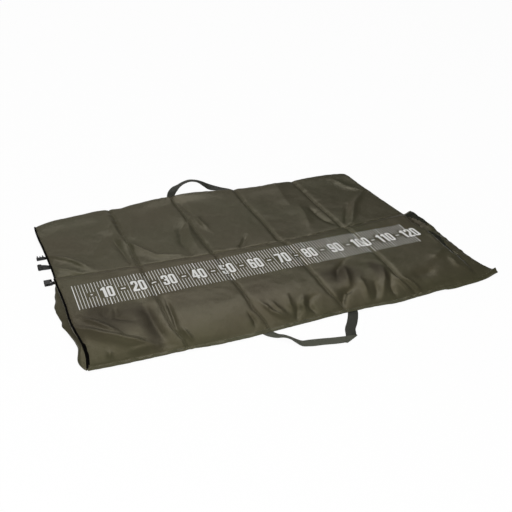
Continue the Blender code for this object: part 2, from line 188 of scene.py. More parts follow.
def fold(x, y, height, wide_left, wide_right, *places):
    """A ridge, or with a negative height a valley, along the places, given as pairs. All in millimetres. Its
    sides may fall away at different widths, which is what makes one side of a crease catch the light."""
    points = np.array(places, float).reshape(-1, 2) / 1000
    leg = np.diff(points, axis=0)
    length = np.hypot(*leg.T)
    start = np.concatenate([[0], np.cumsum(length)])
    best = np.full(np.shape(x), 1e9)
    side, along = np.zeros(np.shape(x)), np.zeros(np.shape(x))
    for k, (p, d, n) in enumerate(zip(points, leg, length)):
        t = np.clip(((x - p[0]) * d[0] + (y - p[1]) * d[1]) / n ** 2, 0, 1)
        dx, dy = x - p[0] - t * d[0], y - p[1] - t * d[1]
        away = np.hypot(dx, dy)
        near = away < best
        best = np.where(near, away, best)
        side = np.where(near, d[0] * dy - d[1] * dx, side)
        along = np.where(near, (start[k] + t * n) / start[-1], along)
    wide = np.where(side > 0, wide_left, wide_right) / 1000
    taper = 0.35 + 0.65 * ease(np.minimum(along, 1 - along) / 0.3)
    return height / 1000 * taper * np.exp(-(best / wide / 0.85) ** 1.4)


def all_folds(x, y, folds):
    return FOLD_STRETCH * sum(fold(x, y, *f) for f in folds)


def swells(x, y, *waves):
    """Soft swellings of the cloth. waves: height, size along x, size along y, seed."""
    return sum(height * ripple(x, y, *wave) for height, *wave in waves)


FOLD_STRETCH = 1.8
# each fold: its height, its widths to the left and right, and the places it runs through
BASE_FOLDS = [
    (5, 18, 11, -672, 185, -599, 117, -549, 39),
    (3, 12, 10, -665, 89, -611, 48, -585, 20),
    (-2.5, 40, 22, -439, 318, -494, 205, -545, 101),
    (2.5, 14, 16, -416, 469, -411, 293, -397, 154),
    (-3.5, 16, 10, -441, 264, -426, 128, -416, 27),
    (4.5, 10, 18, -412, 212, -368, 130, -321, 50, -246, 32),
    (2.5, 30, 26, -337, 378, -359, 286, -375, 185),
    (-4, 12, 20, -129, 296, -187, 219, -211, 120, -205, 16),
    (3.5, 20, 14, -150, 250, -168, 170, -175, 50),
    (4, 18, 10, -102, 331, -102, 242, -93, 168),
    (-4, 16, 22, -126, 474, -112, 350, -90, 281),
    (-3.5, 10, 12, 22, 82, -11, 28, -39, -6),
    (2.5, 10, 14, -134, 19, -86, -12, -24, -5),
    (3, 30, 22, 309, 250, 291, 157, 261, 49),
    (-3.5, 16, 10, 335, 210, 337, 111, 356, 50),
    (2, 30, 30, 302, 485, 277, 321, 270, 221),
    (5, 12, 24, 605, 270, 513, 169, 428, 35),
    (-3, 12, 10, 486, 180, 419, 65, 391, 23),
    (3, 22, 18, 545, 423, 567, 332, 609, 284),
]
FLAP_FOLDS = [
    (3, 100, 30, -680, -300, -570, -382, -440, -437),
    (6, 11, 18, -666, -307, -593, -370, -529, -411, -456, -447),
    (5.5, 11, 14, -639, -264, -592, -323, -548, -377),
    (-2.5, 16, 10, -561, -220, -573, -262, -564, -302),
    (-3.5, 14, 12, -528, -223, -540, -298, -490, -333),
    (3, 8, 8, -594, -430, -591, -453),
    (3, 8, 8, -539, -447, -479, -448),
    (-6.5, 24, 28, -446, -236, -440, -361, -427, -448),
    (-4, 12, 9, -375, -244, -380, -339, -386, -430),
    (2.5, 8, 7, -369, -408, -363, -434, -353, -456),
    (-3, 8, 7, -158, -403, -152, -431, -158, -454),
    (4, 12, 9, -108, -369, -87, -420, -49, -456),
    (3, 9, 8, -77, -373, -63, -414, -48, -438),
    (3, 9, 8, -14, -361, -24, -407, -23, -428),
    (-3.5, 7, 7, 2, -413, -12, -436, -25, -468),
    (-4, 9, 8, 75, -386, 50, -395, 35, -420, 45, -455),
    (4, 9, 9, 35, -385, 16, -416, 13, -441),
    (-6.5, 9, 12, 205, -390, 170, -401, 148, -429, 144, -453),
    (3.5, 12, 10, 248, -353, 242, -406, 232, -441),
    (4, 12, 14, 232, -271, 218, -320, 197, -381),
    (4, 12, 14, 350, -329, 325, -387, 282, -446),
    (4, 9, 10, 364, -379, 371, -423, 384, -460),
    (4, 8, 8, 390, -394, 407, -430, 419, -468),
    (-4, 14, 12, 266, -228, 203, -282, 176, -335),
    (-4, 10, 10, 286, -391, 274, -424, 254, -450),
    (-4, 8, 10, 354, -372, 330, -414, 324, -456),
    (3, 18, 22, 615, -284, 575, -315, 537, -335),
    (2.2, 12, 12, 608, -340, 605, -389, 630, -408),
    (-2.5, 8, 8, 629, -448, 547, -452, 436, -450),
    (-3.5, 18, 18, 519, -381, 477, -392, 423, -392),
    (1.6, 12, 12, 649, -105, 632, -191, 635, -255),
]
print(len(BASE_FOLDS), "folds on the base and", len(FLAP_FOLDS), "on the flap")

# %% [markdown]
# ## The height of the base and of the flap
# The base is a pad that falls to a thin hem at the rear and right, stands on a boxed wall at the left, and
# is pressed down along each seam. The flap is a thinner pad that slopes to the ground at the front, where
# both are sewn together. Two functions give the height of each cloth at any place, so that pads, seam strips,
# piping and the printed ruler all agree about where the surface is.

# %% Surfaces
def seam_line(k, y, flap):
    """X of a seam. The flap's seams are pulled sideways where they near the front hem."""
    pull = 0.018 * ease((-0.375 - y) / 0.075) if flap else 0
    return SEAMS[k] + pull + 0.0015 * np.sin(y * 21 + k * 2)


def seam_distance(x, y, flap):
    return np.min([np.abs(x - seam_line(k, y, flap)) for k in range(len(SEAMS))], axis=0)


def hump(t, at, wide):
    """1 at a place, falling away from it on both sides."""
    return np.exp(-((t - at) / wide) ** 2)


def gathers(along, away, seed, size=0.014):
    """Small puckers across a line of stitches, fading away from it."""
    return ripple(along, away, size, 0.05, seed) * np.exp(-np.maximum(away, 0) / 0.022)


def free_wave(x, y):
    """How the flap's thin free edge goes up and down."""
    free = free_edge(x) - y
    return 0.0016 * ripple(x, free, 0.035, 0.2, 10) * np.exp(-np.maximum(free, 0) / 0.02)


def flap_top(x, y):
    left, front, free = x - flap_left(y), y - front_edge(x), free_edge(x) - y
    seam = seam_distance(x, y, True)
    # the pad, between the hems at its free and left edges
    hem_top = LINING + 0.003 + free_wave(x, y)
    field = hem_top + (FLAP_CROWN - hem_top) * rise((free - 0.009) / 0.030)
    field -= 0.003 * (1 - rise(left / 0.016))
    # at the right it falls to the limp hem, which droops, turns up at the rear and is cut off at the corner
    beyond = x - (FOAM_END + 0.003 * np.sin(y * 30))
    ragged = ripple(y, x, 0.014, 1.0, 33)
    padded = rise(-beyond / (0.024 + 0.007 * ragged), 1.3)
    droop = 0.010 * np.clip((beyond - 0.01) / 0.05, 0, 1.4) ** 1.5 * ease(-y / 0.15)
    upturn = 0.009 * ease((y + 0.16) / 0.13) * ease((x - 0.652) / 0.028)
    corner = 1.1 * np.maximum(x - 0.683 - 0.2 * np.maximum(-0.03 - y, 0), 0)
    hem = 0.0215 + 0.0022 * ripple(y, x, 0.016, 0.02, 34) - droop
    hem = np.maximum(hem + upturn - corner, 0.006)
    field = np.where(beyond < 0, hem + (field - hem) * padded, np.minimum(hem, field))
    groove = 0.002 * hump(beyond, 0, 0.005) * (1 + 0.7 * ragged)
    field -= groove * ease((y + 0.36) / 0.15) * ease((-0.03 - y) / 0.05)
    # the seams pull it down, and the stitching gathers it
    sag = hump(seam, 0, 0.009) * 0.0034
    field = field - sag * rise(free / 0.03) * rise(front / 0.05) - 0.4 * sag * (1 - rise(free / 0.03))
    puckers = 0.0022 * gathers(x, front - 0.020, 6) * ease((front - 0.01) / 0.02)
    field += puckers * np.clip(padded + 0.4, 0, 1)
    field += 0.0016 * gathers(x, np.abs(free - 0.008), 7)
    field += 0.0013 * gathers(y, np.abs(beyond), 8, 0.017)
    field += 0.0008 * gathers(y, seam - 0.006, 9, 0.018)
    # it slopes to the front hem, with a raised strip and a line of stitches behind that
    slope = rise((front - 0.016) / 0.165, 1.9)
    tip = 0.005 * ease((x - 0.66) / 0.05) * ease((0.03 - front) / 0.03)
    strip = 0.0058 * hump(front, 0.0065, 0.0052) * (1 + 0.5 * ripple(x, front, 0.012, 0.3, 12))
    loose = np.clip(0.25 + 0.75 * rise(free / 0.04) * np.clip(0.3 + padded, 0, 1), 0, 1)
    folds = all_folds(x, y, FLAP_FOLDS) + swells(
        x, y, (0.0018, 0.15, 0.12, 3), (0.0008, 0.05, 0.045, 4), (0.0003, 0.018, 0.02, 5))
    top = HEM + (field - HEM) * slope + tip + strip + folds * loose * ease((front - 0.012) / 0.028)
    top = top - 0.0024 * hump(front, 0.0145, 0.003) - 0.0004 * hump(beyond, 0, 0.0018)
    return np.maximum(top, LOWEST)


def flap_under(x, y):
    flat = LINING + np.maximum(free_wave(x, y), -0.0003) - 0.003 * hump(seam_distance(x, y, True), 0, 0.015)
    return np.minimum(flat, flap_top(x, y) - 0.0019)


def rear_lift(x, rear):
    """The rear hem stands off the ground beside the handle."""
    return 0.010 * hump(x, -0.10, 0.13) * ease(1 - rear / 0.09)


def base_top(x, y):
    left, to_right = x - base_left(y), base_right(y) - x
    front, rear = y - front_edge(x) - 0.012, rear_edge(x) - y
    seam = seam_distance(x, y, False)
    full = rise((rear - 0.005) / 0.024, 2.6) * rise((to_right - 0.006) / 0.024)
    full = full * (0.84 + 0.16 * rise(left / 0.02)) * rise((front + 0.006) / 0.09, 1.8)
    loose = 0.2 + 0.8 * full
    top = HEM + (BASE_CROWN - HEM) * full + 0.0035 * full * hump(rear, 0.05, 0.05) * ease(seam / 0.09)
    top = top - hump(seam, 0, 0.009) * 0.0038 * full + loose * all_folds(x, y, BASE_FOLDS)
    top += loose * swells(
        x, y, (0.0016, 0.17, 0.14, 13), (0.0007, 0.055, 0.05, 14), (0.00025, 0.02, 0.02, 15))
    # gathers, and the lines of stitches at the rear and right hems
    top = top + 0.0014 * gathers(x, rear - 0.009, 16) + 0.0010 * gathers(y, to_right - 0.012, 17)
    top = top + 0.0010 * gathers(y, seam - 0.006, 18, 0.02) + 0.0008 * gathers(y, left, 19, 0.02)
    top = top - 0.0008 * hump(rear, 0.009, 0.0018) - 0.0008 * hump(to_right, 0.006, 0.0018)
    top = np.maximum(top, LOWEST) + rear_lift(x, rear)
    # it stays below the flap, and dips along the flap's free edge
    ceiling = flap_under(x, np.minimum(y, free_edge(x) - 0.002)) - 0.0006
    covered = ease((free_edge(x) + 0.024 - y) / 0.022)
    top -= np.maximum(top - np.minimum(ceiling, 0.0232), 0) * covered
    return np.maximum(top - 0.0065 * hump(y - free_edge(x), 0.002, 0.0035), 0.0024)


def base_under(x, y):
    return 0.0006 + 0.0002 * (1 + ripple(x, y, 0.09, 0.08, 23)) + rear_lift(x, rear_edge(x) - y) * 0.8


print("base crown", round(float(base_top(0.0, 0.25)) * 1000, 1), "mm, flap crown",
      round(float(flap_top(0.0, -0.2)) * 1000, 1), "mm")

# %% [markdown]
# ## A closed pad
# A padded column is one closed body: an upper sheet, a lower sheet and a wall between their edges. The two
# sheets share one grid, closer where the cloth puckers, and the wall bulges between them.

# %% Pad builder
def grid_lines(low, high, coarse, fine, border):
    """Places from low to high, close together near both ends."""
    ends = max(2, round(border / fine))
    middle = max(2, round((high - low - 2 * border) / coarse))
    return np.concatenate([np.linspace(low, low + border, ends, endpoint=False),
                           np.linspace(low + border, high - border, middle, endpoint=False),
                           np.linspace(high - border, high, ends + 1)])


def new_piece(name, verts, faces, sharp=50):
    mesh = bpy.data.meshes.new(name)
    mesh.from_pydata(np.asarray(verts).tolist(), [], [list(map(int, f)) for f in faces])
    mesh.validate()
    mesh.shade_smooth()
    mesh.set_sharp_from_angle(angle=math.radians(sharp))
    return in_scene(name, mesh)


def quads(number):
    """The faces of a grid of numbered points."""
    return np.stack([number[:-1, :-1], number[:-1, 1:], number[1:, 1:], number[1:, :-1]], -1).reshape(-1, 4)


def around(grid):
    """What stands along the four sides of a grid, once round."""
    return np.concatenate([grid[0, :-1], grid[:-1, -1], grid[-1, :0:-1], grid[:0:-1, 0]])


def closed_pad(name, x, y, top, under, wall=None, wall_rows=4):
    """x, y, top and under are grids of one shape, rows along y. wall gives the bulge of each border point."""
    number = np.arange(x.size).reshape(x.shape)
    quad, ring = quads(number), around(number)
    upper, lower = (np.stack([x, y, z], -1).reshape(-1, 3) for z in (top, under))
    verts, faces = [upper, lower], [quad, quad[:, ::-1] + x.size]
    edge = upper[ring][:, :2]
    way = np.roll(edge, -1, 0) - np.roll(edge, 1, 0)
    out = np.stack([way[:, 1], -way[:, 0]], -1) / np.maximum(np.hypot(*way.T), 1e-9)[:, None]
    bulge = wall(around(x), around(y)) if wall else np.zeros(len(ring))
    for share in np.arange(1, wall_rows) / wall_rows:
        row = upper[ring] * (1 - share) + lower[ring] * share
        row[:, :2] += out * (bulge * np.sin(math.pi * share) ** 0.7)[:, None]
        verts.append(row)
    made = np.arange(2 * x.size, 2 * x.size + (wall_rows - 1) * len(ring)).reshape(-1, len(ring))
    rings = [ring, *made, ring + x.size]
    for above, below in zip(rings, rings[1:]):
        faces.append(np.stack([above, below, np.roll(below, -1), np.roll(above, -1)], -1))
    return new_piece(name, np.concatenate(verts), np.concatenate(faces))


def pad_plan(k, low, high, left_of, right_of, flap):
    """The grid of column k seen from above: the places of its points."""
    level, coarser = (-0.2, 2) if flap else (0, 1)
    across = grid_lines(0, 1, 0.0052 / 0.26, 0.0028 / 0.26, 0.030 / 0.26)
    a = SEAMS[k - 1] if k else left_of(level)
    b = SEAMS[k] if k < COLUMNS - 1 else right_of(level)
    rough = a + (b - a) * across
    t = grid_lines(0, 1, 0.0055 / 0.9 * coarser, 0.0030 / 0.9 * coarser, 0.035 / 0.9)
    y = low(rough)[None, :] + t[:, None] * (high(rough) - low(rough))[None, :]
    inset = STRIP_HALF + PAD_GAP
    a = seam_line(k - 1, y, flap) + inset if k else left_of(y)
    b = seam_line(k, y, flap) - inset if k < COLUMNS - 1 else right_of(y)
    return a + (b - a) * across[None, :], y


# %% [markdown]
# ## The five base pads
# Each base pad replaces three solids: the sheets above and below and the foam between. The first pad's left
# side is the boxed wall, which sags outwards under the flap, so its wall gets a bulge of its own.

# %% Base pads
def base_wall(x, y):
    slack = 0.0015 + 0.0075 * ease((0.01 - y) / 0.05) + 0.018 * hump(y, -0.18, 0.10)
    crumple = 1 + 0.25 * ripple(y, x, 0.03, 1.0, 31)
    return np.where(x < base_left(y) + 0.001, slack * crumple, 0.0012 * (seam_distance(x, y, False) > 0.01))


nylon_pieces = []
base_front = lambda x: front_edge(x) + 0.012
for k in range(COLUMNS):
    x, y = pad_plan(k, base_front, rear_edge, base_left, base_right, False)
    pad = closed_pad(f"base_pad_{k + 1}", x, y, base_top(x, y), base_under(x, y), base_wall, 6)
    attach(pad, f"column_{k + 1}")
    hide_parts(f"base_cover_{k + 1}", f"base_underside_{k + 1}", f"base_foam_{k + 1}")
    nylon_pieces.append(pad)
    print(pad.name, len(pad.data.polygons), "faces")

# %% [markdown]
# ## The five flap pads
# A flap pad is thinner than a base pad. Each is built where it lies, over the front fold.


def flap_wall(x, y):
    return np.where(x < flap_left(y) + 0.001, 0.0045 * rise((y - front_edge(x)) / 0.08), 0.0008)


for k in range(COLUMNS):
    x, y = pad_plan(k, front_edge, free_edge, flap_left, flap_right, True)
    pad = closed_pad(f"flap_pad_{k + 1}", x, y, flap_top(x, y), flap_under(x, y), flap_wall)
    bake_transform(pad)
    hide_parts(f"flap_cover_{k + 1}", f"flap_lining_{k + 1}", f"flap_foam_{k + 1}",
                f"front_fold_{k + 1}")
    nylon_pieces.append(pad)
    print(pad.name, len(pad.data.polygons), "faces")

# %% [markdown]
# ## The sewn seams
# Between two columns both sheets are stitched flat in a narrow band. Each band is a low closed strip in the
# valley between the pads, one on the base and one on the flap, built where it lies.

# %% Seam bands
BAND_LIFT, BAND_LOWEST = 0.0004, 0.0016


def seam_band(name, k, low, high, flap, top, under):
    across = np.array([-1, -0.86, -0.66, -0.56, -0.2, 0.2, 0.56, 0.66, 0.86, 1]) * STRIP_HALF
    groove = np.array([-0.4, 0.1, 0, -0.3, -1.6, -1.6, -0.3, 0, 0.1, -0.4]) * 0.001
    t = np.linspace(0, 1, 120 if flap else 200)
    start, end = low(SEAMS[k]), high(SEAMS[k])
    y = (start + t * (end - start))[:, None] + 0 * across[None, :]
    x = seam_line(k, y, flap) + across[None, :]
    z = np.maximum(top(x, y) + groove[None, :] + BAND_LIFT, BAND_LOWEST)
    return closed_pad(name, x, y, z, np.clip(under(x, y), 0.0002, z - 0.001), wall_rows=2)


for k, seam in enumerate(SEAMS):
    band = seam_band(f"base_seam_{k + 1}", k, base_front, rear_edge, False, base_top, base_under)
    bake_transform(band)
    cover = seam_band(f"flap_seam_{k + 1}", k, front_edge, free_edge, True, flap_top, flap_under)
    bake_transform(cover)
    for piece in (band, cover):
        nylon_pieces.append(piece)
print(2 * len(SEAMS), "seam bands")

# %% [markdown]
# ## Piping
# A thin cord wrapped in black tape runs along the left edge of the base and of the flap. A curve with a
# round bevel would do. Here the tube is swept in code, because a blended piece has to be a mesh.

# %% Piping
def distance_along(points):
    """How far along their line the points are."""
    return np.concatenate([[0], np.cumsum(np.linalg.norm(np.diff(points, axis=0), axis=1))])


def smooth_path(points, step):
    """Evenly spaced places on a smooth curve through the points."""
    points = np.array(points, float)
    at = distance_along(points[:, :3])
    fine = np.linspace(0, at[-1], 2000)
    dense = np.stack([line_through(*zip(at, column))(fine) for column in points.T], -1)
    run = distance_along(dense[:, :3])
    even = np.linspace(0, run[-1], max(3, round(run[-1] / step) + 1))
    return np.stack([np.interp(even, run, column) for column in dense.T], -1)


def swept(name, path, wide, section, sharp=50, slanted=False):
    """A closed body with one section along a path. wide points across it at each place of the path. A slanted
    one keeps wide's own slope and length, which a flat ribbon needs where it folds over."""
    onwards = np.gradient(path, axis=0)
    onwards /= np.linalg.norm(onwards, axis=1)[:, None]
    if not slanted:
        wide = wide - np.sum(wide * onwards, 1)[:, None] * onwards
        wide = wide / np.linalg.norm(wide, axis=1)[:, None]
    thick = np.cross(onwards, wide)
    thick /= np.linalg.norm(thick, axis=1)[:, None]
    n = len(section)
    verts = (path[:, None, :] + wide[:, None, :] * section[None, :, :1]
             + thick[:, None, :] * section[None, :, 1:])
    number = np.arange(len(path) * n).reshape(len(path), n)
    after = np.roll(number, -1, 1)
    side = np.stack([number[:-1], after[:-1], after[1:], number[1:]], -1).reshape(-1, 4)
    faces = [*side.tolist(), number[0][::-1], number[-1]]
    piece = new_piece(name, verts.reshape(-1, 3), faces, sharp)
    for label, value in (("along", np.repeat(distance_along(path), n)),
                         ("across", np.tile(section[:, 0], len(path))),
                         ("face", np.tile(np.sign(section[:, 1]), len(path)))):
        stored = piece.data.attributes.new(label, "FLOAT", "POINT")
        stored.data.foreach_set("value", value.astype(np.float32))
    return piece


PIPING_RADIUS = 0.0032
turn = np.linspace(0, 2 * math.pi, 10, endpoint=False)
round_section = PIPING_RADIUS * np.stack([np.cos(turn), np.sin(turn)], -1)
piping_pieces = []
for name, edge, top, low, high in (("base_cord_edge", base_left, base_top, -0.455, 0.452),
                                   ("flap_cord_edge", flap_left, flap_top, -0.471, 0.019)):
    y = np.arange(low, high, 0.006)
    x = edge(y)
    if edge is base_left:
        # under the flap this cord runs a little further in
        x = np.where(y < -0.005, np.maximum(x, flap_left(y) + 0.005), x)
    level = top(x + 0.0005, y) + 0.0002 + 0.0014 * ripple(y, x, 0.015, 1, 41)
    route = np.stack([x - 0.0008, y, np.maximum(level, PIPING_RADIUS + 0.0002)], -1)
    cord = swept(name, smooth_path(route, 0.004), np.array([[0.0, 0.0, 1.0]]), round_section)
    piping_pieces.append(cord)
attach(piping_pieces[0], "column_1")
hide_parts("base_piping")
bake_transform(piping_pieces[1])
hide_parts("flap_piping")
print("piping", [len(p.data.vertices) for p in piping_pieces])

# %% [markdown]
# ## The printed ruler
# The ruler is screen printed: a mark for each centimetre, longer and bolder at the tens, with the number of
# each ten in the middle of the band. It could be a texture, but print has a thickness and an edge, and here
# it follows every fold, so it is a very thin closed film laid on the cloth.

# %% Ruler marks
RULER_START, BAND_LOW, BAND_HIGH = -0.633, -0.215, -0.070
BAND_MIDDLE = (BAND_LOW + BAND_HIGH) / 2
NUMBER_TALL, DASH_HALF, FILM = 0.062, 0.003, 0.00025
cloth_points, cloth_faces = [], []
for pad in nylon_pieces:
    if pad.name.startswith("flap_"):
        start = len(cloth_points)
        cloth_points += [v.co.copy() for v in pad.data.vertices]
        cloth_faces += [[start + i for i in p.vertices] for p in pad.data.polygons]
cloth = BVHTree.FromPolygons(cloth_points, cloth_faces)


def lie_on_cloth(points):
    """Height of the flap's cloth under each place."""
    down = Vector((0, 0, -1))
    found = [cloth.ray_cast(Vector((float(x), float(y), 0.2)), down)[0] for x, y in points]
    surface = flap_top(*np.array(points, float).T) - 0.0012
    return np.maximum([0 if hit is None else hit.z for hit in found], surface)


def film(name, points, faces):
    """A thin closed film on the cloth, from a flat mesh of places and faces."""
    points = np.array(points, float)
    height, n = lie_on_cloth(points), len(points)
    verts = np.concatenate([np.column_stack([points, height + lift]) for lift in (FILM * 1.6, FILM * 0.6)])
    edges = dict.fromkeys(pair for face in faces for pair in zip(face, [*face[1:], face[0]]))
    rim = [[b, a, a + n, b + n] for a, b in edges if (b, a) not in edges]
    return new_piece(name, verts, [*faces, *([i + n for i in reversed(f)] for f in faces), *rim], 30)


PRINT_ENDS = [float(seam_line(k, BAND_MIDDLE, True)) + (-1 if k < 2 else 1) * (STRIP_HALF + PAD_GAP / 2)
              for k in range(len(SEAMS))]


def column_of(x):
    return sum(x > end for end in PRINT_ENDS)


marks = {k: ([], []) for k in range(COLUMNS)}


def add_bar(x, low, high, half, pieces):
    """One mark, as a row of small quads along y."""
    places, faces = marks[column_of(x)]
    start = len(places)
    for y in np.linspace(low, high, pieces + 1):
        places += [(x - half, y), (x + half, y)]
    faces += [[start + 2 * i, start + 2 * i + 1, start + 2 * i + 3, start + 2 * i + 2] for i in range(pieces)]


for cm in range(121):
    x = RULER_START + cm / 100
    half, longer = (0.0014, 0.002) if cm % 10 == 0 else (0.00085, 0)
    low, high = BAND_LOW - longer, BAND_HIGH + longer
    # beside a number or a dash the mark is in two parts
    if cm > 5 and abs((cm + 5) % 10 - 5) < (3 if cm < 95 else 4):
        parts, clear = 7, NUMBER_TALL / 2 + 0.004
    else:
        parts, clear = (12, 0.014) if abs(cm % 10 - 5) < 2 else (26, 0)
    if clear:
        add_bar(x, low, BAND_MIDDLE - clear, half, parts)
        add_bar(x, BAND_MIDDLE + clear, high, half, parts)
    else:
        add_bar(x, low, high, half, parts)
    if cm % 10 == 5:
        # a dash, and before the first number a dot
        reach = 0.003 if cm == 5 else 0.0075
        for shift in (-0.5, 0.5):
            add_bar(x + reach * shift, BAND_MIDDLE - DASH_HALF, BAND_MIDDLE + DASH_HALF, reach / 2, 2)


# Each numeral stands in a box 10 wide and 26 tall: its outline, then its holes. A third value rounds a corner
# more. A, B, C and D are the box's own round corners.
def box_hole(low, high):
    return [(3.7, low), (6.3, low), (6.3, high), (3.7, high)]


A, B, C, D = (0, 0, 4), (10, 0, 4), (10, 26, 4), (0, 26, 4)
SIX = [[A, B, (10, 16, 3.4), (4, 16), (4, 21.9), (6.3, 21.9), (6.3, 18.4), (10, 18.4), C, D],
       box_hole(3.7, 12)]
NUMERALS = {
    "0": [[A, B, C, D], box_hole(4.4, 21.6)],
    "1": [[(3.4, 0), (7.8, 0), (7.8, 26), (4.8, 26), (0.4, 21.8), (0.4, 18.4), (3.4, 19.4)]],
    "2": [[(0, 0), (10, 0), (10, 4.3), (5.0, 4.3), (10, 14.4, 2), C, D, (0, 17.6), (3.7, 17.6), (3.7, 21.8),
           (6.3, 21.8), (6.3, 15.4), (0, 4.8)]],
    "3": [[A, B, (10, 12.6, 1.4), (8.6, 13.5), (10, 14.4, 1.4), C, D, (0, 17.8), (3.7, 17.8), (3.7, 21.9),
           (6.3, 21.9), (6.3, 15.5), (3.4, 15.5), (3.4, 11.5), (6.3, 11.5), (6.3, 3.7), (3.7, 3.7),
           (3.7, 8.4), (0, 8.4)]],
    "4": [[(5.2, 0), (9.2, 0), (9.2, 5), (10.6, 5), (10.6, 9), (9.2, 9), (9.2, 26), (4.4, 26), (-0.4, 9.6),
           (-0.4, 5), (5.2, 5)], [(5.4, 9), (3.1, 9), (5.4, 18.4)]],
    "5": [[A, B, (10, 17, 3.4), (4, 17), (4, 22), (9.4, 22), (9.4, 26), (0, 26), (0, 12.8), (6.3, 12.8),
           (6.3, 3.7), (3.7, 3.7), (3.7, 8.4), (0, 8.4)]],
    "6": SIX,
    "7": [[(1.8, 0), (6.3, 0), (10, 20.6), (10, 26), (0, 26), (0, 21.8), (5.8, 21.8)]],
    "8": [[A, B, (10, 12.4, 1), (9, 13.4), (10, 14.4, 1), C, D, (0, 14.4, 1), (1, 13.4), (0, 12.4, 1)],
          box_hole(3.7, 11.4), box_hole(15.4, 21.9)],
    "9": [[(10 - x, 26 - y, *more) for x, y, *more in outline] for outline in SIX],
}
NUMERAL_WIDE, NUMERAL_TALL, NUMERAL_GAP = 0.0021, NUMBER_TALL / 26, 1.5


def rounded(outline, steps=4):
    """The outline with each corner turned into a short curve."""
    corners = [Vector(c[:2]) for c in outline]
    radii = [c[2] if len(c) > 2 else 0.35 for c in outline]
    made = []
    for i, (corner, radius) in enumerate(zip(corners, radii)):
        before, after = corners[i - 1] - corner, corners[(i + 1) % len(corners)] - corner
        p = corner + before.normalized() * min(radius, before.length * 0.48)
        q = corner + after.normalized() * min(radius, after.length * 0.48)
        for t in np.linspace(0, 1, steps + 1):
            made.append(p * (1 - t) ** 2 + corner * 2 * t * (1 - t) + q * t ** 2)
    return made


def number_shape(text, x):
    """Flat numerals centred at x, cut into small faces so that they can lie on the cloth."""
    widths = [8 if c == "1" else 10 for c in text]
    pen = -(sum(widths) + NUMERAL_GAP * (len(text) - 1)) / 2
    shape = bmesh.new()
    for character, width in zip(text, widths):
        loops = [[Vector((pen + p.x, p.y - 13, 0)) for p in rounded(o)] for o in NUMERALS[character]]
        verts = [shape.verts.new((x + p.x * NUMERAL_WIDE, BAND_MIDDLE + p.y * NUMERAL_TALL, 0))
                 for loop in loops for p in loop]
        for face in tessellate_polygon(loops):
            shape.faces.new([verts[i] for i in face])
        pen += width + NUMERAL_GAP
    bmesh.ops.recalc_face_normals(shape, faces=shape.faces)
    for axis in (0, 1):
        reach = [v.co[axis] for v in shape.verts]
        ends = [e for e in PRINT_ENDS if min(reach) < e < max(reach)] if axis == 0 else []
        for at in [*np.arange(min(reach) + 0.005, max(reach), 0.006), *ends]:
            plane, across = Vector((0, 0, 0)), Vector((0, 0, 0))
            plane[axis], across[axis] = at, 1
            bmesh.ops.bisect_plane(shape, geom=shape.verts[:] + shape.edges[:] + shape.faces[:], dist=1e-5,
                                   plane_co=plane, plane_no=across)
    shape.verts.index_update()
    shape.normal_update()
    for face in shape.faces:
        if face.normal.z < 0:
            face.normal_flip()
    places = [(v.co.x, v.co.y) for v in shape.verts]
    faces = [[v.index for v in f.verts] for f in shape.faces]
    shape.free()
    return places, faces


for ten in range(10, 121, 10):
    places, faces = number_shape(str(ten), RULER_START + ten / 100)
    for face in faces:
        held, kept = marks[column_of(np.mean([places[i][0] for i in face]))]
        start = len(held)
        held += [places[i] for i in face]
        kept.append([start + i for i in range(len(face))])

print_pieces = []
for k, (places, faces) in marks.items():
    # corners that meet within a hundredth of a millimetre become one
    spots, order = np.unique(np.round(np.array(places) * 1e5).astype(int), axis=0, return_inverse=True)
    joined = [order.ravel()[f].tolist() for f in faces]
    sheet_print = film(f"ruler_print_{k + 1}", spots / 1e5, [f for f in joined if len(set(f)) == len(f)])
    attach(sheet_print, f"flap_{k + 1}")
    print_pieces.append(sheet_print)
    print(sheet_print.name, len(sheet_print.data.polygons), "faces")

# %% [markdown]
# ## Dark marks of the right hem
# At the right the padding stops short of the edge. The valley beside it and the hem's rear corner, which
# turns up, lie in deep shade. A groove alone stays too light there, so the shade is painted: each mark is a
# thin ragged film of near-black colour on the cloth, made like the print.

# %% Dark marks
def dark_strip(name, *stations):
    """A ragged film of painted shade. stations: x, y and half width along its middle, in millimetres."""
    route = smooth_path(np.array(stations) / 1000, 0.0025)
    way = np.gradient(route[:, :2], axis=0)
    across = np.stack([way[:, 1], -way[:, 0]], -1) / np.hypot(*way.T)[:, None]
    shares = np.linspace(-1, 1, 11)
    rows = []
    for share in shares:
        torn = 1 + 0.5 * ripple(route[:, 1], route[:, 0] + share, 0.007, 0.5, 61)
        rows.append(route[:, :2] + across * (route[:, 2] * share * torn)[:, None])
    number = np.arange(len(route) * len(shares)).reshape(len(route), len(shares))
    strip = film(name, np.stack(rows, 1).reshape(-1, 2), quads(number).tolist())
    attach(strip, "flap_5")
    return strip


# painted shade: near-black films in the hem's valley and at its turned-up rear corner
dark_pieces = [
    dark_strip("corner_lining",
               (640, 4, 2), (656, 8, 12), (672, 3, 21), (680, -18, 18), (680, -42, 12), (679, -66, 7),
               (677, -92, 1)),
    dark_strip("hem_valley",
               (649, -105, 1), (655, -124, 4), (660, -145, 7), (662.5, -170, 8.5), (660.5, -195, 8),
               (657, -220, 7), (653, -245, 4), (650, -290, 3), (649, -330, 3), (648, -370, 1)),
]
print([p.name for p in dark_pieces])

# %% [markdown]
# ## Webbing
# The handles are flat woven webbing, 32 mm wide, which stays limp: it lies on the ground, twists where it
# leaves the hem and folds flat at a corner. A ribbon swept along a route, with a direction for its width at
# each place, can do all three. The route was read from the picture, on the ground the mat lies on.

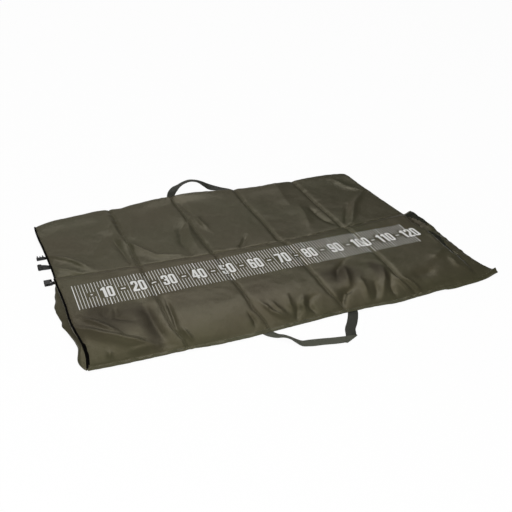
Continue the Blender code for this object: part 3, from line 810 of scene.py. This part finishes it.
# %% Handles
def band_section(width, thickness, columns=9):
    """A flat oval section: level faces and rounded selvedges."""
    u = np.linspace(-0.5, 0.5, columns)
    v = 0.5 * (1 - np.abs(2 * u) ** 10 * 0.6)
    upper = np.stack([u * width, v * thickness], -1)
    lower = np.stack([u[::-1] * width, -v[::-1] * thickness], -1)
    return np.concatenate([lower[::-1], upper[::-1]])


def webbing(name, stations, width, thickness, step=0.0018):
    """stations: x, y, z of the route and x, y, z of the way across, at each. Way 1 long is the full width."""
    route = smooth_path(stations, step)
    return swept(name, route[:, :3], route[:, 3:], band_section(width, thickness), 60, True)


def metres(stations):
    return [(x / 1000, y / 1000, z / 1000, *way) for x, y, z, *way in stations]


# each station: its place in millimetres, and the way across
# the run along the ground ends in a flat fold at its right, and the leg goes back to the hem under it
FRONT_HANDLE = [
    (-133.5, -486.5, 1.8, -0.715, -0.692, 0.02), (-127, -497.5, 2.2, -0.69, -0.72, 0.06),
    (-112, -516, 3.2, -0.55, -0.78, 0.2), (-94, -528, 5.2, -0.38, -0.84, 0.32),
    (-82, -543, 5.6, -0.35, -0.85, 0.33), (-72, -561, 4.5, -0.4, -0.88, 0.24),
    (-60, -576, 2.7, -0.4, -0.91, 0.1), (-40, -581, 1.6, -0.25, -0.97, 0),
    (0, -589, 1.4, -0.216, -0.976, 0), (36.7, -598.5, 2, -0.216, -0.976, 0),
    (64, -605.3, 3.4, -0.8, -0.846, 0), (81.6, -609.5, 3.7, -1.403, -0.715, 0),
    (85.9, -611, 2.5, -1.403, -0.715, 0), (87.1, -602.8, 1.2, -1.403, -0.715, 0),
    (94.3, -586.3, 1.2, -1.155, -0.151, 0), (105.5, -560.7, 1.2, -0.916, 0.399, 0),
    (125, -534.5, 1.3, -0.84, 0.54, 0), (143, -507, 1.3, -0.83, 0.56, 0),
    (154.5, -486.5, 1.3, -0.865, 0.5, 0),
]
# its sewn ends stay under the hem when the handle lifts
FRONT_ROOTS = [
    [(-150, -452, 1.5, -0.8, -0.6, 0), (-140, -472, 1.5, -0.74, -0.67, 0), FRONT_HANDLE[0]],
    [FRONT_HANDLE[-1], (159, -476, 1.3, -0.89, 0.45, 0), (166, -452, 1.3, -0.97, 0.25, 0)],
]
REAR_HANDLE = [
    (-138, 492, 9.8, -1, 0, 0), (-138, 512, 11.5, -1, 0, 0), (-134, 525, 20, -1, 0.05, 0.15),
    (-126, 533, 30, -0.95, 0.25, 0.2), (-113, 541, 38.5, -0.6, 0.8, 0.1),
    (-92, 556, 42, -0.15, 0.98, -0.08), (-62, 578, 43.5, 0, 0.99, -0.12), (-30, 590, 42.5, 0, 0.99, -0.1),
    (-4, 584, 38, 0.05, 0.99, 0), (16, 575, 28, 0.1, 0.93, 0.3), (38, 568, 14.5, 0.15, 0.86, 0.48),
    (60, 562, 7, 0.3, 0.9, 0.3), (85, 550, 3.5, 0.6, 0.8, 0), (108, 528, 3, 0.9, 0.43, 0),
    (120, 505, 2.8, 1, 0.1, 0), (121, 485, 2.6, 1, 0, 0),
]
HANDLE_WIDE, HANDLE_THICK = 0.032, 0.0018
webbing_pieces = []
for side, route in (("front", FRONT_HANDLE), ("rear", REAR_HANDLE)):
    handle = webbing(f"{side}_handle_web", metres(route), HANDLE_WIDE, HANDLE_THICK)
    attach(handle, f"{side}_loop")
    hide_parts(f"{side}_handle")
    if side == "front":
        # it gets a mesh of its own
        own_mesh(handle)
    webbing_pieces.append(handle)
    print(handle.name, len(handle.data.polygons), "faces")
for side, route in zip(("left", "right"), FRONT_ROOTS):
    root = webbing(f"front_handle_root_{side}", metres(route), HANDLE_WIDE, HANDLE_THICK)
    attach(root, "column_3")
    webbing_pieces.append(root)

# %% [markdown]
# ## The closures
# Three short webbing ends stick out of the left edge: a plain end with its tip turned back and sewn, and the
# two halves of a small side-release buckle. The moulded halves keep their solids. The webbing is made anew.

# %% Closure webbing
closure_pieces = []
for node, body, slot in (("closure_strap", "strap_end", "closure_webbing"),
                         ("buckle_tab", "socket_half", "webbing"), ("buckle_link", "prong_half", "webbing")):
    low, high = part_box(node)
    width, tip, hem = high.y - low.y, low.x, high.x
    # the route's x and z, and the way across
    stations = [(x, 0.0012, 0, 1, 0) for x in (hem, hem - 0.006, tip)]
    if node == "closure_strap":
        width, tilt = 0.021, (0, 0.86, 0.5)
        stations = [(hem + 0.003, 0.0012, 0, 1, 0), (hem - 0.008, 0.0032, 0, 0.95, 0.25),
                    (tip + 0.012, 0.0066, 0.05, 0.86, 0.5), (tip + 0.002, 0.0068, *tilt),
                    (tip, 0.0084, *tilt), (tip + 0.002, 0.0100, *tilt), (tip + 0.014, 0.0094, *tilt)]
    middle = (low.y + high.y) / 2
    end = webbing(f"{node}_web", [(x, middle, z, *way) for x, z, *way in stations], width, 0.0015, 0.0012)
    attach(end, body)
    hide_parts(node)
    closure_pieces.append(end)
print(len(closure_pieces), "webbing ends")

# %% [markdown]
# ## Writing shaders as sums
# Blender's shaders are graphs, and a long graph is hard to read. A small class lets a socket take part in
# ordinary arithmetic, and each sign adds its Math node.

# %% Shader sums
class Reading:
    """What one socket gives at each point of a surface. Arithmetic on it adds nodes."""

    def __init__(self, finish, socket):
        self.finish, self.socket = finish, socket

    def sum(self, operation, first, second):
        return self.finish.node("ShaderNodeMath", {0: first, 1: second}, operation=operation)

    __add__ = __radd__ = lambda self, other: self.sum("ADD", self, other)
    __sub__ = lambda self, other: self.sum("SUBTRACT", self, other)
    __rsub__ = lambda self, other: self.sum("SUBTRACT", other, self)
    __mul__ = __rmul__ = lambda self, other: self.sum("MULTIPLY", self, other)
    __truediv__ = lambda self, other: self.sum("DIVIDE", self, other)
    __pow__ = lambda self, other: self.sum("POWER", self, other)

    def wave(self, length):
        """A sine that repeats after the length."""
        return self.sum("SINE", self * (2 * math.pi / length), 0)


class Finish:
    """A material being made, around one Principled surface."""

    def __init__(self, name, **plain):
        self.material = bpy.data.materials.new(name)
        self.material.use_nodes = True
        self.tree = self.material.node_tree
        self.surface = self.tree.nodes["Principled BSDF"]
        for socket, value in plain.items():
            self.set(socket.replace("_", " "), value)

    def node(self, kind, sockets=(), out=0, **settings):
        """Adds a node: settings first, then values or links for its sockets."""
        made = self.tree.nodes.new(kind)
        for name, value in settings.items():
            setattr(made, name, value)
        for name, value in dict(sockets).items():
            self.feed(made.inputs[name], value)
        return Reading(self, made.outputs[out])

    def feed(self, socket, value):
        if isinstance(value, Reading):
            self.tree.links.new(value.socket, socket)
        else:
            socket.default_value = value

    def set(self, name, value):
        self.feed(self.surface.inputs[name], value)

    def mix(self, share, first, second):
        colour = lambda c: c if isinstance(c, Reading) else (*c, 1)
        sockets = {0: share, 6: colour(first), 7: colour(second)}
        return self.node("ShaderNodeMix", sockets, 2, data_type="RGBA")

    def noise(self, place, scale, detail=3.0, roughness=0.5):
        return self.node("ShaderNodeTexNoise", {"Vector": place, "Scale": scale, "Detail": detail,
                                                "Roughness": roughness})

    def place(self):
        return self.node("ShaderNodeTexCoord", out=3)

    def bump(self, height, distance, strength=1.0):
        self.set("Normal", self.node("ShaderNodeBump", {"Height": height, "Distance": distance,
                                                         "Strength": strength}))

    def dress(self, *pieces):
        for piece in pieces:
            piece.data.materials.clear()
            piece.data.materials.append(self.material)


# %% [markdown]
# ## Coated nylon
# The cloth is a fine plain weave with a coating that gives a satin sheen. From a few steps away the weave is
# only a soft grain, and what shows is a slight crinkle and a colour that drifts a little between olive and
# brown. The weave is two crossed waves, the crinkle is noise, and both go through one bump.

# %% Nylon
THREAD = 0.0011
# spots of painted shade, where hollows between folds lie in shade: middle x and y, half length and half depth
PAINTED_SHADE_SPOTS = [(-0.54, -0.295, 0.13, 0.10), (-0.455, -0.36, 0.034, 0.12), (0.20, -0.315, 0.085, 0.065),
          (-0.585, -0.23, 0.04, 0.05), (0.33, -0.33, 0.03, 0.07), (0.664, -0.062, 0.026, 0.06)]


def coated(name, brown, olive, shade_spots, *pieces):
    """Satin nylon whose colour drifts from one tone to the other."""
    nylon = Finish(name, Specular_IOR_Level=0.42, Specular_Tint=(1, 0.86, 0.55, 1))
    place = nylon.place()
    drift = nylon.noise(place, 4.0, 3.0) * 2.4 - 0.7
    grain = nylon.noise(place, 90.0, 2.0)
    tone = nylon.mix(drift, brown, olive)
    x, y = (nylon.node("ShaderNodeSeparateXYZ", {0: place}, axis) for axis in (0, 1))
    # greener towards the front, and a painted highlight: the front hem is made pale where it catches the
    # light
    tone = nylon.mix((-0.38 - y) * 10 * nylon.noise(place, 7.0, 2.0), tone, (0.074, 0.074, 0.038))
    tone = nylon.mix((-0.466 - y) * 60 * nylon.noise(place, 22.0, 3.0), tone, (0.125, 0.125, 0.082))
    # painted shade: the listed spots are darkened to brown where hollows between folds lie in shade, and made
    # rougher
    shade_mask = 0
    for middle_x, middle_y, half_long, half_deep in shade_spots:
        u, v = (x - middle_x) / half_long, (y - middle_y) / half_deep
        shade_mask = shade_mask + x.sum("MAXIMUM", 1 - (u * u + v * v), 0)
    tone = nylon.mix(shade_mask * (nylon.noise(place, 9.0, 2.0, 0.3) + 0.6), tone, (0.030, 0.025, 0.016))
    nylon.set("Base Color", nylon.mix(grain * 0.35, tone, [c * 0.75 for c in brown]))
    nylon.set("Roughness", 0.27 + grain * 0.08 + shade_mask * 0.16)
    crinkle = nylon.noise(place, 34.0, 4.0, 0.55)
    nylon.bump(crinkle + x.wave(THREAD) * y.wave(THREAD) * 0.03, 0.0012, 0.8)
    nylon.dress(*pieces)


for part, brown, olive, places in (("base", (0.066, 0.058, 0.036), (0.062, 0.062, 0.036), ()),
                                   ("flap", (0.070, 0.059, 0.038), (0.066, 0.065, 0.036), PAINTED_SHADE_SPOTS)):
    coated(f"{part}_nylon", brown, olive, places, *[p for p in nylon_pieces if part in p.name])
print("nylon on", len(nylon_pieces), "pieces")

# %% [markdown]
# ## Print, webbing, piping and moulded plastic
# Print is a chalky white ink that lets a little of the cloth's tone through. Webbing shows its ribs, so its
# pattern follows what the ribbon builder stored: how far along, how far across, and which face. Its lower
# face and its ends under the hem are painted darker, as shade. The dark marks are painted shade: almost
# black, and they take no sheen.

# %% Other finishes
ink = Finish("ruler_ink", Roughness=0.6)
worn = ink.noise(ink.place(), 160.0, 3.0)
ink.set("Base Color", ink.mix(worn * 0.2, (0.93, 0.93, 0.91), (0.62, 0.61, 0.56)))
ink.bump(worn, 0.0002, 0.4)
ink.dress(*print_pieces)

# painted shade: the near-black colour of the films in the right hem's valley and corner
shade_film = Finish("hem_grime", Roughness=0.75, Specular_IOR_Level=0.15)
patchy = shade_film.noise(shade_film.place(), 120.0, 2.0) * 3 - 1
shade_film.set("Base Color", shade_film.mix(patchy, (0.006, 0.006, 0.005), (0.028, 0.030, 0.016)))
shade_film.dress(*dark_pieces)


def woven(name, deep, light, rib, rough, back=1.0, shine=0.4):
    """Webbing from a deep to a light yarn. back darkens its lower face, a painted shade for the sheen that
    shows on one face and not the other.
    """
    web = Finish(name, Specular_IOR_Level=shine)
    along, across, face = (web.node("ShaderNodeAttribute", out=2, attribute_name=stored)
                           for stored in ("along", "across", "face"))
    pattern = (across.wave(rib) * 0.35 + (along + across * 0.6).wave(rib * 1.3) * 0.65) * 0.5 + 0.5
    fuzz = web.noise(web.place(), 300.0, 2.0)
    # the lower face is a darker copy of the yarn: painted shade
    yarn, dark = (web.mix(pattern * 0.6 + fuzz * 0.4, [c * share for c in deep], [c * share for c in light])
                  for share in (1, back))
    # painted shade: where it goes in under the hem it is darkened to near black
    inwards = web.node("ShaderNodeSeparateXYZ", {0: web.place()}, 1)
    under_hem_shade = 1 - ((inwards - 0.005) / 0.507) ** 16
    web.set("Base Color", web.mix(under_hem_shade, web.mix(face * 0.5 + 0.5, yarn, dark), [c * 0.15 for c in deep]))
    web.set("Roughness", rough + fuzz * 0.1)
    web.bump(pattern, 0.0005, 0.7)
    return web


for pieces, name, deep, light, *more in (
        (webbing_pieces, "handle_webbing", (0.060, 0.063, 0.044), (0.120, 0.124, 0.090), 0.0018, 0.5, 0.36),
        (closure_pieces[:1], "closure_webbing", (0.16, 0.16, 0.15), (0.30, 0.30, 0.28), 0.0016, 0.5),
        (closure_pieces[1:], "black_webbing", (0.012, 0.012, 0.011), (0.030, 0.030, 0.028), 0.0016, 0.5),
        (piping_pieces, "piping_tape", (0.004, 0.004, 0.003), (0.008, 0.008, 0.007), 0.0012, 0.8, 1.0, 0.06)):
    woven(name, deep, light, *more).dress(*pieces)

plastic = Finish("moulded_plastic", Specular_IOR_Level=0.5)
spark = plastic.noise(plastic.place(), 900.0, 2.0)
plastic.set("Base Color", plastic.mix(spark, (0.014, 0.014, 0.015), (0.024, 0.024, 0.025)))
plastic.set("Roughness", 0.36 + spark * 0.16)
plastic.bump(spark, 0.0001, 0.5)
plastic.dress(frame["nodes"]["buckle_socket"], frame["nodes"]["buckle_prongs"])
print("finishes done")

# %% [markdown]
# ## Floor and light
# The mat lies on a white sweep. To the camera the floor is white by itself, so no lamp has to burn it out,
# and it still takes the mat's contact shadow. The studio behind is white to the camera alone as well, so it
# doesn't wash out the cloth. Big soft lamps behind and beside give the satin its sheen.

# %% Floor
FLOOR_HALF, FLOOR_LEVEL = 40, -0.0004
corners = [(u * FLOOR_HALF, v * FLOOR_HALF, FLOOR_LEVEL) for u, v in ((-1, -1), (1, -1), (1, 1), (-1, 1))]
floor_mesh = bpy.data.meshes.new("floor")
floor_mesh.from_pydata(corners, [], [(0, 1, 2, 3)])
floor = in_scene("floor", floor_mesh)
paper = Finish("white_paper", Roughness=0.9, Base_Color=(0.80, 0.80, 0.80, 1))
seen = paper.node("ShaderNodeLightPath")
glow = paper.node("ShaderNodeEmission", {"Color": (1, 1, 1, 1), "Strength": 1.04})
plain = Reading(paper, paper.surface.outputs[0])
lit = paper.node("ShaderNodeMixShader", {0: seen * 0.90, 1: plain, 2: glow})
paper.tree.links.new(lit.socket, paper.tree.nodes["Material Output"].inputs["Surface"])
paper.dress(floor)

# %% Lamps
world = bpy.data.worlds.new("studio")
world.use_nodes = True
sky = world.node_tree
dim, bright = sky.nodes["Background"], sky.nodes.new("ShaderNodeBackground")
for background, strength in ((dim, 0.04), (bright, 1.0)):
    background.inputs["Color"].default_value = (1, 1, 1, 1)
    background.inputs["Strength"].default_value = strength
chooser, ray = sky.nodes.new("ShaderNodeMixShader"), sky.nodes.new("ShaderNodeLightPath")
for output, socket in ((ray.outputs["Is Camera Ray"], chooser.inputs[0]), (dim.outputs[0], chooser.inputs[1]),
                       (bright.outputs[0], chooser.inputs[2]),
                       (chooser.outputs[0], sky.nodes["World Output"].inputs["Surface"])):
    sky.links.new(output, socket)
bpy.context.scene.world = world


def softbox(name, place, target, size, power, colour=(1, 1, 1)):
    lamp = bpy.data.lights.new(name, "AREA")
    lamp.shape, lamp.size, lamp.size_y, lamp.energy, lamp.color = "RECTANGLE", *size, power, colour
    item = in_scene(name, lamp)
    item.location = place
    item.rotation_euler = (Vector(target) - Vector(place)).to_track_quat("-Z", "Y").to_euler()


softbox("left_light", (-4.0, -6.0, 4.6), (0, 0, 0), (2.4, 2.4), 470)
softbox("backdrop_light", (-0.5, 9.0, 2.0), (0, 0, 0), (9.0, 3.0), 32, (1, 0.9, 0.74))
softbox("overhead_light", (1.2, 7.0, 8.0), (0, 0, 0), (8.0, 3.4), 240)
softbox("top_light", (1.0, 2.2, 9.0), (0, 0, 0), (6.0, 4.0), 140)
bpy.context.scene.view_settings.view_transform = "Standard"
print("lamps done")
